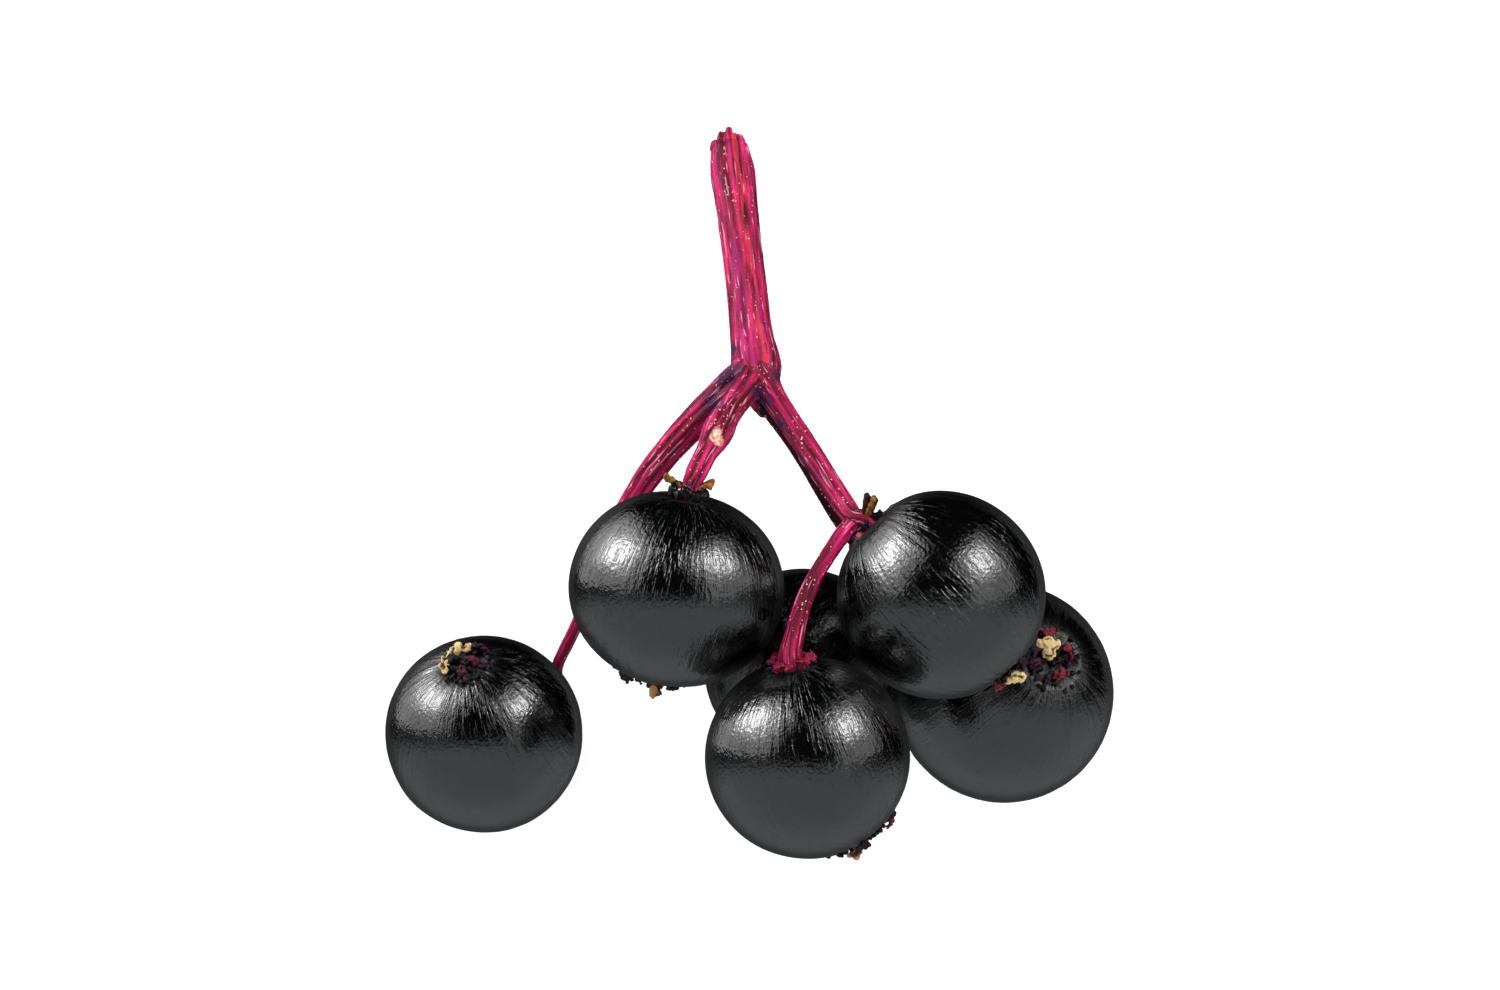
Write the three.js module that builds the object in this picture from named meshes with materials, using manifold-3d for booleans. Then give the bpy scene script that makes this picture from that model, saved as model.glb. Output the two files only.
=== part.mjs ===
// A sprig of ripe elderberries as picked: one red ribbed stalk that forks into four branches,
// six black berries on short pedicels, the dried flower remains on each berry, and the tiny
// shrunken bracts where fruit and branch meet. It lies on its side on a table at z = 0.
// Millimetres, +Z up, the cut end of the stalk towards +Y, origin under the middle of the whole.

import * as THREE from 'three';
import { mergeVertices } from 'three/addons/utils/BufferGeometryUtils.js';
import Module from 'manifold-3d';

const wasm = await Module();
wasm.setup();

// ---- driving dimensions -------------------------------------------------------------------

const FIT_GAP = 0.03; // clearance between two pieces that touch on the living plant

const BERRY_SEGMENTS = 24; // round the berry
const BERRY_ROWS = 14; // from pole to pole
const STALK_DIMPLE = { depth: 0.05, spread: 0.3 }; // fraction of the radius, radians
const CROWN_RECESS = { depth: 0.025, spread: 0.3 };

// Each berry: centre, radius, length along its own axis against its width, the direction in
// which the pedicel joins it, the radius of the pedicel there, the direction of the crown of
// flower remains, and the radius of that crown.
const BERRIES = {
  far_left: {
    centre: [-7.96, -7.15, 2.95], radius: 2.95, length: 1,
    stalk: [0.45, -0.4, -0.8], pedicel: 0.19, crown: [-0.19, 0.745, 0.64], crownRadius: 0.75,
  },
  upper_left: {
    centre: [-2.14, -2.71, 9.4], radius: 3.13, length: 0.91,
    stalk: [0.13, 0.95, 0.2], pedicel: 0.34, crown: [-0.24, -0.93, -0.28], crownRadius: 1.05,
  },
  upper_right: {
    centre: [5.54, -2.9, 9.12], radius: 3.02, length: 1,
    stalk: [-0.7, 0.71, 0.03], pedicel: 0.27, crown: [0.67, -0.74, -0.08], crownRadius: 1,
  },
  lower_middle: {
    centre: [1.65, -7.54, 10.6], radius: 2.95, length: 0.99,
    stalk: [-0.16, 0.95, 0.27], pedicel: 0.44, crown: [0.56, -0.81, -0.17], crownRadius: 1.1,
  },
  far_right: {
    centre: [7.58, -5.91, 3.28], radius: 3.28, length: 1,
    stalk: [-0.55, -0.35, -0.76], pedicel: 0.2, crown: [0.425, 0.344, 0.837], crownRadius: 0.92,
  },
  back: {
    centre: [1.58, -5.1, 5.08], radius: 2.93, length: 1,
    stalk: [0.66, 0.695, -0.28], pedicel: 0.2, crown: [-0.66, -0.695, 0.28], crownRadius: 0.95,
  },
};

// The stalk from its torn end to the fork: each stop is x, y, z and the radius there.
const STALK = [
  [-0.61, 10.5, 0.74, 0.58], [-0.53, 9.82, 1, 0.67], [-0.38, 8.6, 1.72, 0.64],
  [-0.1, 6.2, 3.45, 0.62], [0.07, 4.6, 4.69, 0.66], [0.2, 3.75, 5.42, 0.74], [0.24, 3.24, 5.86, 0.66],
];

// The branches, from the fork or from another branch to just short of the berry they bear.
const BRANCHES = {
  upper_right: [
    [0.24, 3.63, 5.71, 0.55], [0.65, 2.94, 6.21, 0.38], [1.46, 1.7, 7.03, 0.34],
    [2.36, 0.32, 8.09, 0.32], [2.8, -0.38, 8.65, 0.31], [3, -0.62, 9, 0.29],
  ],
  lower_middle: [
    [3.05, -0.75, 8.95, 0.28], [2.72, -1.1, 9.25, 0.26], [2.36, -1.59, 9.65, 0.22],
    [1.74, -2.62, 10.42, 0.25], [1.29, -3.96, 11.2, 0.28],
  ],
  upper_left: [
    [0.06, 3.45, 5.86, 0.5], [-0.29, 2.91, 6.8, 0.35], [-0.73, 2.28, 7.9, 0.33],
    [-1.03, 1.72, 8.8, 0.37], [-1.31, 1.07, 9.6, 0.31], [-1.55, 0.62, 9.98, 0.33],
  ],
  far_left: [
    [0, 3.63, 5.57, 0.59], [-0.59, 3.16, 5.42, 0.46], [-1.39, 2.4, 5.22, 0.4],
    [-3.27, 0.21, 4.1, 0.33], [-4.33, -1.64, 3.28, 0.22], [-5.1, -3.69, 2.52, 0.15],
    [-5.5, -4.51, 2.11, 0.15], [-5.75, -5.88, 1.2, 0.15], [-6, -7.5, 0.46, 0.15],
  ],
  far_right: [
    [0.06, 3.63, 5.51, 0.59], [0.3, 2.89, 5.45, 0.36], [0.87, 1.92, 5.33, 0.28],
    [2.61, -0.83, 4.75, 0.27], [4.15, -2.83, 3.75, 0.24], [4.37, -4.34, 2.78, 0.21],
    [4.36, -5.45, 1.82, 0.18], [4.69, -6.56, 0.88, 0.18],
  ],
  back: [[3.4, -1.9, 4.36, 0.24], [3.66, -2.4, 4.2, 0.2]],
};
const NECK = 0.25; // the last stretch of a pedicel runs straight into its berry

const STALK_RIBS = { count: 5, depth: 0.07 };
const BRANCH_RIBS = { count: 4, depth: 0.05 };
const TORN_FIBRES = { length: 0.42, reach: 0.3 }; // how far the torn end stands out along the stalk

const SCAR = { centre: [-0.93, 1.72, 8.36], size: [0.2, 0.24, 0.14] }; // where a pedicel fell off
const NODE_KNOB = { centre: [0.14, 2.78, 5.5], size: [0.3, 0.26, 0.28] }; // swelling in the crotch

const DRY_BRACT = { foot: [3.42, -0.62, 9.32], tip: [3.52, -0.08, 9.5], radius: 0.11 };
const BUD = { centre: [3.2, -1.18, 9.22], size: [0.14, 0.15, 0.13] };

// ---- solids -------------------------------------------------------------------------------

const vec = (p) => new THREE.Vector3(p[0], p[1], p[2]);

function toSolid(geometry) {
  const bare = geometry.clone();
  bare.deleteAttribute('normal');
  bare.deleteAttribute('uv');
  const merged = mergeVertices(bare, 1e-5);
  return new wasm.Manifold(new wasm.Mesh({
    numProp: 3,
    vertProperties: new Float32Array(merged.attributes.position.array),
    triVerts: new Uint32Array(merged.index.array),
  }));
}

function toGeometry(solid) {
  const mesh = solid.getMesh();
  const geometry = new THREE.BufferGeometry();
  geometry.setAttribute('position', new THREE.BufferAttribute(mesh.vertProperties, 3));
  geometry.setIndex(new THREE.BufferAttribute(mesh.triVerts, 1));
  geometry.computeVertexNormals();
  return geometry;
}

// A lump: an icosphere stretched to the given half sizes, its own +Y turned to a direction.
function lump(centre, size, direction = new THREE.Vector3(0, 1, 0), detail = 1) {
  const turn = new THREE.Quaternion().setFromUnitVectors(new THREE.Vector3(0, 1, 0), direction);
  const place = new THREE.Matrix4().compose(centre, turn, vec(size));
  return toSolid(new THREE.IcosahedronGeometry(1, detail).applyMatrix4(place));
}

// ---- berries ------------------------------------------------------------------------------

// A near-sphere with a dimple where the pedicel joins and a shallow recess under the crown;
// grow adds the same thickness all over.
function berryGeometry({ radius, length, stalk, crown }, grow = 0) {
  const geometry = new THREE.SphereGeometry(1, BERRY_SEGMENTS, BERRY_ROWS);
  const axis = vec(stalk).normalize();
  const crownDirection = vec(crown).normalize();
  geometry.applyQuaternion(new THREE.Quaternion().setFromUnitVectors(new THREE.Vector3(0, 1, 0), axis));
  const position = geometry.attributes.position;
  const point = new THREE.Vector3();
  for (let i = 0; i < position.count; i += 1) {
    point.fromBufferAttribute(position, i).normalize();
    const hollow = STALK_DIMPLE.depth * Math.exp(-((point.angleTo(axis) / STALK_DIMPLE.spread) ** 2))
      + CROWN_RECESS.depth * Math.exp(-((point.angleTo(crownDirection) / CROWN_RECESS.spread) ** 2));
    const along = axis.clone().multiplyScalar(point.dot(axis) * (length - 1));
    const direction = point.clone();
    point.multiplyScalar(1 - hollow).add(along).multiplyScalar(radius);
    point.addScaledVector(direction, grow);
    position.setXYZ(i, point.x, point.y, point.z);
  }
  return geometry;
}

// The room a berry takes up, with the fit gap round it, for cutting what sits on it.
function berryRoom(berry) {
  const geometry = berryGeometry(berry, FIT_GAP);
  return toSolid(geometry.translate(...berry.centre));
}

// How far the berry's surface is from its centre in a direction.
function surfacePoint({ centre, radius, length, stalk }, towards, above = 0) {
  const direction = vec(towards).normalize();
  const axis = vec(stalk).normalize();
  const along = axis.multiplyScalar(direction.dot(axis) * (length - 1));
  return direction.clone().add(along).multiplyScalar(radius).addScaledVector(direction, above)
    .add(vec(centre));
}

// ---- stalk --------------------------------------------------------------------------------

// A ribbed rod along a route: a closed cylinder whose rows are moved onto the curve's frames.
function rod(route, ribs, { sides, rows, end = () => 0 }) {
  const curve = new THREE.CatmullRomCurve3(route.map(vec), false, 'centripetal');
  const frames = curve.computeFrenetFrames(rows, false);
  const geometry = new THREE.CylinderGeometry(1, 1, 1, sides, rows, false);
  const position = geometry.attributes.position;
  for (let i = 0; i < position.count; i += 1) {
    const row = Math.round((0.5 - position.getY(i)) * rows);
    const t = curve.getUtoTmapping(row / rows);
    const stop = Math.min(Math.floor(t * (route.length - 1)), route.length - 2);
    const between = t * (route.length - 1) - stop;
    const radius = THREE.MathUtils.lerp(route[stop][3], route[stop + 1][3], between);
    const angle = Math.atan2(position.getZ(i), position.getX(i));
    const out = Math.hypot(position.getX(i), position.getZ(i));
    const reach = out * radius * (1 + ribs.depth * Math.cos(ribs.count * angle));
    const point = curve.getPoint(t)
      .addScaledVector(frames.normals[row], reach * Math.cos(angle))
      .addScaledVector(frames.binormals[row], reach * Math.sin(angle));
    if (row === 0) point.addScaledVector(frames.tangents[0], -end(angle, out));
    position.setXYZ(i, point.x, point.y, point.z);
  }
  return toSolid(geometry);
}

const BRANCH_MESH = { sides: 12, rows: 14 };

// A branch's stops with the straight neck that ends just inside its berry.
function routeTo(name) {
  const berry = BERRIES[name];
  const stop = (above) => [...surfacePoint(berry, berry.stalk, above).toArray(), berry.pedicel];
  return [...BRANCHES[name], stop(NECK), stop(-NECK)];
}

function stalkSolid() {
  const torn = (angle, out) => TORN_FIBRES.length * (1 - out)
    + TORN_FIBRES.reach * out * (0.5 + 0.5 * Math.sin(STALK_RIBS.count * angle + 1)) * Math.cos(angle / 2) ** 2;
  let solid = rod(STALK, STALK_RIBS, { sides: 20, rows: 14, end: torn });
  for (const name of Object.keys(BRANCHES)) {
    solid = solid.add(rod(routeTo(name), BRANCH_RIBS, BRANCH_MESH));
  }
  solid = solid.add(lump(vec(SCAR.centre), SCAR.size));
  solid = solid.add(lump(vec(NODE_KNOB.centre), NODE_KNOB.size));
  for (const berry of Object.values(BERRIES)) solid = solid.subtract(berryRoom(berry));
  return solid;
}

// ---- flower remains and bracts ------------------------------------------------------------

const CALYX = { height: 0.1, lobes: 5, lobe: [0.2, 0.2, 0.13], stigma: [0.24, 0.17, 0.22] };

// The crown of a berry: a thin disc that follows the skin, five shrunken sepals and a stigma.
function calyxSolid(berry, index) {
  const up = vec(berry.crown).normalize();
  const turn = new THREE.Quaternion().setFromUnitVectors(new THREE.Vector3(0, 1, 0), up);
  const reach = berry.crownRadius / berry.radius;
  const profile = [new THREE.Vector2(0, 0.9)];
  for (const [share, radius] of [[1, 0.9], [1.06, 0.98], [1, 1.02], [0.5, 1.01]]) {
    profile.push(new THREE.Vector2(Math.sin(reach * share) * radius, Math.cos(reach * share) * radius));
  }
  profile.push(new THREE.Vector2(0, 1.01));
  const disc = new THREE.LatheGeometry(profile, 10).scale(berry.radius, berry.radius, berry.radius)
    .applyQuaternion(turn).translate(...berry.centre);
  let solid = toSolid(disc);
  for (let i = 0; i < CALYX.lobes; i += 1) {
    const angle = ((i + 0.35 * Math.sin(3 * i + index)) / CALYX.lobes) * 2 * Math.PI + index;
    const lean = new THREE.Vector3(Math.sin(reach) * Math.cos(angle), Math.cos(reach),
      Math.sin(reach) * Math.sin(angle)).applyQuaternion(turn);
    solid = solid.add(lump(surfacePoint(berry, lean.toArray(), CALYX.height), CALYX.lobe, up));
  }
  solid = solid.add(lump(surfacePoint(berry, berry.crown, CALYX.height / 2), CALYX.stigma, up));
  return solid.subtract(berryRoom(berry));
}

const RING = { tube: 0.1, lumps: 4, lump: [0.14, 0.12, 0.14] };

// The ring of shrunken bracteoles round the end of a pedicel.
function bracteoleSolid(berry) {
  const up = vec(berry.stalk).normalize();
  const turn = new THREE.Quaternion().setFromUnitVectors(new THREE.Vector3(0, 0, 1), up);
  const radius = berry.pedicel * (1 + BRANCH_RIBS.depth) + FIT_GAP + RING.tube;
  const foot = surfacePoint(berry, berry.stalk, RING.tube - berry.radius * STALK_DIMPLE.depth);
  const torus = new THREE.TorusGeometry(radius, RING.tube, 5, 10).applyQuaternion(turn)
    .translate(foot.x, foot.y, foot.z);
  let solid = toSolid(torus);
  for (let i = 0; i < RING.lumps; i += 1) {
    const angle = (i / RING.lumps) * 2 * Math.PI;
    const centre = new THREE.Vector3(Math.cos(angle), Math.sin(angle), 0)
      .multiplyScalar(radius + RING.tube / 2).applyQuaternion(turn).add(foot);
    solid = solid.add(lump(centre, RING.lump, up, 0));
  }
  return solid.subtract(berryRoom(berry));
}

function dryBractSolid() {
  const foot = vec(DRY_BRACT.foot);
  const tip = vec(DRY_BRACT.tip);
  const middle = foot.clone().lerp(tip, 0.5).add(new THREE.Vector3(-0.05, 0, 0.06));
  const route = [foot, middle, tip].map((p, i) => [...p.toArray(), DRY_BRACT.radius * (0.7 + 0.3 * i)]);
  return rod(route, { count: 2, depth: 0.2 }, { sides: 10, rows: 6 });
}

// ---- the sprig ----------------------------------------------------------------------------

const skin = new THREE.MeshStandardMaterial({ color: 0x15161a, roughness: 0.3, metalness: 0 });
const bark = new THREE.MeshStandardMaterial({ color: 0xb0164e, roughness: 0.5, metalness: 0 });
const driedSepal = new THREE.MeshStandardMaterial({ color: 0xd8bd72, roughness: 0.8, metalness: 0 });
const shrunkenLeaf = new THREE.MeshStandardMaterial({ color: 0x4a1430, roughness: 0.7, metalness: 0 });
const brownLeaf = new THREE.MeshStandardMaterial({ color: 0x7a4316, roughness: 0.8, metalness: 0 });
const pinkBud = new THREE.MeshStandardMaterial({ color: 0xd8325a, roughness: 0.4, metalness: 0 });

const sprig = new THREE.Group();

function addPiece(name, geometry, material) {
  const mesh = new THREE.Mesh(geometry, material);
  mesh.name = name;
  sprig.add(mesh);
  return mesh;
}

addPiece('stalk', toGeometry(stalkSolid()), bark);
Object.entries(BERRIES).forEach(([name, berry], index) => {
  addPiece(`berry_${name}`, berryGeometry(berry), skin).position.fromArray(berry.centre);
  addPiece(`calyx_${name}`, toGeometry(calyxSolid(berry, index)), driedSepal);
  addPiece(`bracteoles_${name}`, toGeometry(bracteoleSolid(berry)), shrunkenLeaf);
});
addPiece('dry_bract', toGeometry(dryBractSolid()), brownLeaf);
addPiece('flower_bud', toGeometry(lump(vec(BUD.centre), BUD.size)), pinkBud);

const box = new THREE.Box3().setFromObject(sprig);
const middle = box.getCenter(new THREE.Vector3());
sprig.position.set(-middle.x, -middle.y, -box.min.z);

export default sprig;
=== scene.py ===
import math

import bpy
import numpy as np
from mathutils import Matrix, Vector, noise


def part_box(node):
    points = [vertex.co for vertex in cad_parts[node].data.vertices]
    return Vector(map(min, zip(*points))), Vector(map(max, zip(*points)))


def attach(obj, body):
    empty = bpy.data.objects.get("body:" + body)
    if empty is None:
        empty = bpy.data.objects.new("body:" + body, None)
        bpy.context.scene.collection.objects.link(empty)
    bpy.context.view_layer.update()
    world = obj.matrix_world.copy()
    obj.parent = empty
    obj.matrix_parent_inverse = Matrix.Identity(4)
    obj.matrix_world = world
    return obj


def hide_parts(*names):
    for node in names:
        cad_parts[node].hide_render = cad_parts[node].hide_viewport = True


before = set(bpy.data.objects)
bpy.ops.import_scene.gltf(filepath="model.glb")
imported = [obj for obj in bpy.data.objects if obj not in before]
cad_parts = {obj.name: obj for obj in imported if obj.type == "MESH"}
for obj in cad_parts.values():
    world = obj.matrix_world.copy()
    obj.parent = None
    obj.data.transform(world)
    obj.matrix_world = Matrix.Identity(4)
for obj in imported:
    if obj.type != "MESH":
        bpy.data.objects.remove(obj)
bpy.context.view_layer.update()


# ---- the table, the light and the camera -----------------------------------------------------
# The sprig lies on a plain pale table top and is seen from straight above, the torn end of its
# stalk away from the viewer. A soft box stands either side, brightest round the lamp inside, and
# the near half of the room is a grey that the glossy skins mirror.
MM = 0.001  # every size below is in millimetres
CAMERA_HEIGHT = 200.0
CAMERA_OFFSET = (0.034, -0.128)  # from the middle of the sprig's footprint
FOCAL_LENGTH = 158.1
TABLE_SIZE = 8000.0
TABLE_GLOW = 0.5  # the table is lit from below through milk glass, which softens the shadows
SOFT_BOX_DISTANCE = 450.0
ROOM_GREY = 0.36  # what the skins mirror from the near half of the room
ROOM_DARK = 0.002  # and from the far half, between the soft boxes
UNDER_GREY = 0.3  # the share of that grey which is left straight below
RIM_GLOW = 0.22  # what they mirror of the table's edge, low on the right
AMBIENT = 0.95  # the light of the white room on bark, crowns and table
WHITE = (1.0, 1.0, 1.0, 1.0)


def linear(hex_colour):
    """An sRGB hex colour as the four linear numbers a shader takes."""
    parts = [int(hex_colour[i:i + 2], 16) / 255 for i in (1, 3, 5)]
    return (*[p / 12.92 if p <= 0.04045 else ((p + 0.055) / 1.055) ** 2.4 for p in parts], 1.0)


def add_node(tree, kind, sockets=None, **settings):
    """A shader node with its settings made, and each named socket given a value or a link.

    A whole node given to a socket is linked by the first of its outputs that is in use."""
    made = tree.nodes.new("ShaderNode" + kind)
    for name, value in settings.items():
        setattr(made, name, value)
    for socket, value in (sockets or {}).items():
        if isinstance(value, bpy.types.Node):
            value = next(output for output in value.outputs if output.enabled)
        if isinstance(value, bpy.types.NodeSocket):
            tree.links.new(value, made.inputs[socket])
        else:
            made.inputs[socket].default_value = value
    return made


def new_material(name):
    """An empty material and its node tree."""
    material = bpy.data.materials.new(name)
    material.use_nodes = True
    material.node_tree.nodes.clear()
    return material, material.node_tree


camera_data = bpy.data.cameras.new("camera")
camera_data.lens = FOCAL_LENGTH
camera_data.clip_start = 0.01
camera = bpy.data.objects.new("camera", camera_data)
camera.location = (CAMERA_OFFSET[0] * MM, CAMERA_OFFSET[1] * MM, CAMERA_HEIGHT * MM)
bpy.context.collection.objects.link(camera)
bpy.context.scene.camera = camera
bpy.context.scene.view_settings.view_transform = "Standard"

table_mesh = bpy.data.meshes.new("table")
half = TABLE_SIZE * MM / 2
table_mesh.from_pydata([(-half, -half, 0), (half, -half, 0), (half, half, 0), (-half, half, 0)], [],
                       [(0, 1, 2, 3)])
table = bpy.data.objects.new("table", table_mesh)
bpy.context.collection.objects.link(table)
table_top, tree = new_material("white_milk_glass_table_top")
shader = add_node(tree, "BsdfPrincipled", {
    "Base Color": linear("#f4f4f2"), "Roughness": 0.7, "Specular IOR Level": 0.2,
    "Emission Color": linear("#ffffff"), "Emission Strength": TABLE_GLOW})
add_node(tree, "OutputMaterial", {"Surface": shader})
table_mesh.materials.append(table_top)
table.visible_glossy = False  # the skins mirror the dark room, not the white table
table.visible_shadow = False


def soft_box(name, towards, width, height, radiance, shines_past=None):
    """A rectangular soft box seen from the sprig in a direction; its sides are in degrees."""
    data = bpy.data.lights.new(name, "AREA")
    data.shape = "RECTANGLE"
    data.size = 2 * SOFT_BOX_DISTANCE * MM * math.tan(math.radians(width / 2))
    data.size_y = 2 * SOFT_BOX_DISTANCE * MM * math.tan(math.radians(height / 2))
    data.energy = radiance * math.pi * data.size * data.size_y
    box = bpy.data.objects.new(name, data)
    direction = Vector(towards).normalized()
    sideways = Vector((0, 0, 1)).cross(direction).normalized()
    upwards = direction.cross(sideways)
    box.visible_camera = False
    if shines_past:
        box.light_linking.blocker_collection = shines_past
    box.matrix_world = Matrix.Translation(direction * SOFT_BOX_DISTANCE * MM) @ Matrix(
        (sideways, upwards, direction)).transposed().to_4x4()
    bpy.context.collection.objects.link(box)


hollow_to_light = bpy.data.collections.new("hollow_to_light")
# Each soft box is brighter in its middle and brightest at its lamp, as a cloth front is.
soft_box("left_soft_box", (-0.82, 0.56, 0.08), 64, 88, 0.8)
soft_box("left_soft_box_middle", (-0.77, 0.63, 0.14), 40, 50, 1.2)
soft_box("left_soft_box_lamp", (-0.78, 0.61, 0.18), 22, 22, 6.0)
soft_box("right_soft_box", (0.74, 0.44, 0.5), 60, 60, 0.6, hollow_to_light)
soft_box("right_soft_box_middle", (0.67, 0.55, 0.50), 33, 37, 0.9, hollow_to_light)
soft_box("right_soft_box_lamp", (0.66, 0.56, 0.51), 18, 18, 4.8, hollow_to_light)

world = bpy.data.worlds.new("studio")
world.use_nodes = True
bpy.context.scene.world = world
world.cycles.sampling_method = "NONE"
tree = world.node_tree
tree.nodes.clear()
direction = add_node(tree, "SeparateXYZ", {0: add_node(tree, "TexCoord").outputs["Generated"]})
# The grey of the near half fades in below the horizon's middle and out towards straight below.
near_half = add_node(tree, "MapRange", {
    "Value": direction.outputs["Y"], "From Min": 0.04, "From Max": -0.32, "To Min": ROOM_DARK,
    "To Max": ROOM_GREY}, interpolation_type="SMOOTHSTEP")
under = add_node(tree, "MapRange", {
    "Value": direction.outputs["Z"], "From Min": -0.3, "From Max": -0.92, "To Min": 1.0,
    "To Max": UNDER_GREY})
right_edge = add_node(tree, "MapRange", {
    "Value": direction.outputs["X"], "From Min": 0.2, "From Max": 0.45, "To Max": RIM_GLOW})
low_down = add_node(tree, "MapRange", {
    "Value": direction.outputs["Z"], "From Min": -0.75, "From Max": -0.85})
rim = add_node(tree, "Math", {0: right_edge, 1: low_down}, operation="MULTIPLY")
patchy = add_node(tree, "TexNoise", {"Scale": 22.0, "Detail": 3.0, "Roughness": 0.65})
patches_of_grey = add_node(tree, "MapRange", {
    "Value": patchy, "From Min": 0.3, "From Max": 0.7, "To Min": 0.6, "To Max": 1.4})
uneven = add_node(tree, "Math", {0: under, 1: patches_of_grey}, operation="MULTIPLY")
room = add_node(tree, "Math", {0: near_half, 1: uneven, 2: rim}, operation="MULTIPLY_ADD")
ray = add_node(tree, "LightPath")
mirrored = add_node(tree, "Mix", {
    0: ray.outputs["Is Glossy Ray"], 2: AMBIENT, 3: room}, data_type="FLOAT")
seen = add_node(tree, "Mix", {0: ray.outputs["Is Camera Ray"], 2: mirrored, 3: 1.0}, data_type="FLOAT")
cool = add_node(tree, "Mix", {
    0: ray.outputs["Is Glossy Ray"], 6: WHITE, 7: linear("#f6fafc")}, data_type="RGBA")
background = add_node(tree, "Background", {"Color": cool, "Strength": seen})
add_node(tree, "OutputWorld", {"Surface": background})


# ---- the berries -----------------------------------------------------------------------------
# Six ripe drupes, each a thin tough skin drawn tight over juicy flesh. As they ripen the skin
# wrinkles finely from pole to pole, sinks in a dimple where the pedicel joins, and stands up in
# a puckered rim round the crown of flower remains.
ROUND_BERRY = 288  # mesh steps round a berry
ALONG_BERRY = 176  # mesh steps from pole to pole
DIMPLE = {"depth": 0.05, "spread": 0.3}  # share of the radius, radians: as on the solid
RECESS = {"depth": 0.025, "spread": 0.3}
LUMPS = 0.022  # height of the slow unevenness; it and the heights below are in millimetres
FOLDS = ((5, 1.1, 0.007), (14, 1.6, 0.006))  # pole to pole: closeness round and along, height
CROWN_PUCKERS, CROWN_RAYS, CROWN_RIM = 0.03, 0.022, 0.018
STALK_PUCKERS, STALK_RIM = 0.028, 0.03
PUCKER_REACH = 0.16  # radians
SCAR_DEPTH, SCAR_CRUMPLE = 0.09, 0.045  # the floor inside the crown's rim
BERRIES = {
    "far_left": {"length": 1.0, "rim": 0.78},
    "upper_left": {"length": 0.91, "rim": 1.05},
    "upper_right": {"length": 1.0, "rim": 1.0},
    "lower_middle": {"length": 0.99, "rim": 1.12},
    "far_right": {"length": 1.0, "rim": 0.95},
    "back": {"length": 1.0, "rim": 0.95},
}  # length along the axis against width; radius of the crown's rim


def unit(vector):
    """A vector, or each row of a table of them, at length one."""
    return vector / np.linalg.norm(vector, axis=-1, keepdims=True)


def middle_of(node_name):
    """The middle of a solid's box, in millimetres."""
    low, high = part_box(node_name)
    return np.array((low + high) / 2) / MM


def fit_berry(name):
    """Centre, radius, stalk direction and crown direction of a berry, from its solid's corners."""
    length = BERRIES[name]["length"]
    corners = np.array([v.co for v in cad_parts[f"berry_{name}"].data.vertices]) / MM
    centre = middle_of(f"berry_{name}")
    for _ in range(4):
        stalk = unit(middle_of(f"bracteoles_{name}") - centre)
        crown = unit(middle_of(f"calyx_{name}") - centre)
        away = corners - centre
        plain = (unit(away) @ stalk < 0.75) & (unit(away) @ crown < 0.75)
        rounded = corners + (1 / length - 1) * (away @ stalk)[:, None] * stalk
        rows = np.c_[2 * rounded[plain], np.ones(plain.sum())]
        answer = np.linalg.lstsq(rows, (rounded[plain] ** 2).sum(axis=1), rcond=None)[0]
        centre = answer[:3]
    radius = math.sqrt(answer[3] + centre @ centre)
    return {"centre": centre, "radius": radius, "stalk": stalk, "crown": crown, **BERRIES[name]}


def turned(points, axis, angle):
    """Points turned about an axis, each by its own angle."""
    sine, cosine = np.sin(angle)[..., None], np.cos(angle)[..., None]
    return (points * cosine + np.cross(axis, points) * sine
            + axis * (points @ axis)[..., None] * (1 - cosine))


def near(distance, reach):
    """One where a distance is nothing, and fading to nothing past the reach."""
    return np.exp(-(distance / reach) ** 2)


def noise_at(points, scale, seed):
    """Smooth noise from -1 to 1 at each row of a table of points."""
    shift = Vector((seed * 7.31, seed * 3.17, seed * 5.93))
    return np.array([noise.noise(Vector(p) * scale + shift) for p in points])


def make_piece(name, points, faces, material, kept):
    """A smooth mesh object from points in millimetres, with values or vectors kept at each point."""
    mesh = bpy.data.meshes.new(name)
    mesh.from_pydata((np.asarray(points) * MM).tolist(), [], faces)
    for key, values in kept.items():
        values = np.asarray(values, dtype=np.float32)
        kind, field = ("FLOAT", "value") if values.ndim == 1 else ("FLOAT_VECTOR", "vector")
        mesh.attributes.new(key, kind, "POINT").data.foreach_set(field, values.ravel())
    mesh.materials.append(material)
    mesh.polygons.foreach_set("use_smooth", [True] * len(mesh.polygons))
    mesh.update()
    piece = bpy.data.objects.new(name, mesh)
    bpy.context.collection.objects.link(piece)
    return piece


def globe_steps(along, around):
    """The angles down from the first pole and round the axis, of each point of a closed globe."""
    down, turn = np.meshgrid(np.linspace(0, math.pi, along + 1)[1:-1],
                             np.linspace(0, 2 * math.pi, around, endpoint=False), indexing="ij")
    return np.r_[0, down.ravel(), math.pi], np.r_[0, turn.ravel(), 0]


def globe_faces(rows, around):
    """Faces of a closed globe: first pole, rows of points, last pole."""
    ring = [[1 + r * around + c for c in range(around)] for r in range(rows)]
    last = 1 + rows * around
    faces = [(0, ring[0][(c + 1) % around], ring[0][c]) for c in range(around)][::-1]
    for r in range(rows - 1):
        faces += [(ring[r][c], ring[r][(c + 1) % around], ring[r + 1][(c + 1) % around], ring[r + 1][c])
                  for c in range(around)][::-1]
    faces += [(last, ring[-1][c], ring[-1][(c + 1) % around]) for c in range(around)][::-1]
    return [face[::-1] for face in faces]


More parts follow.
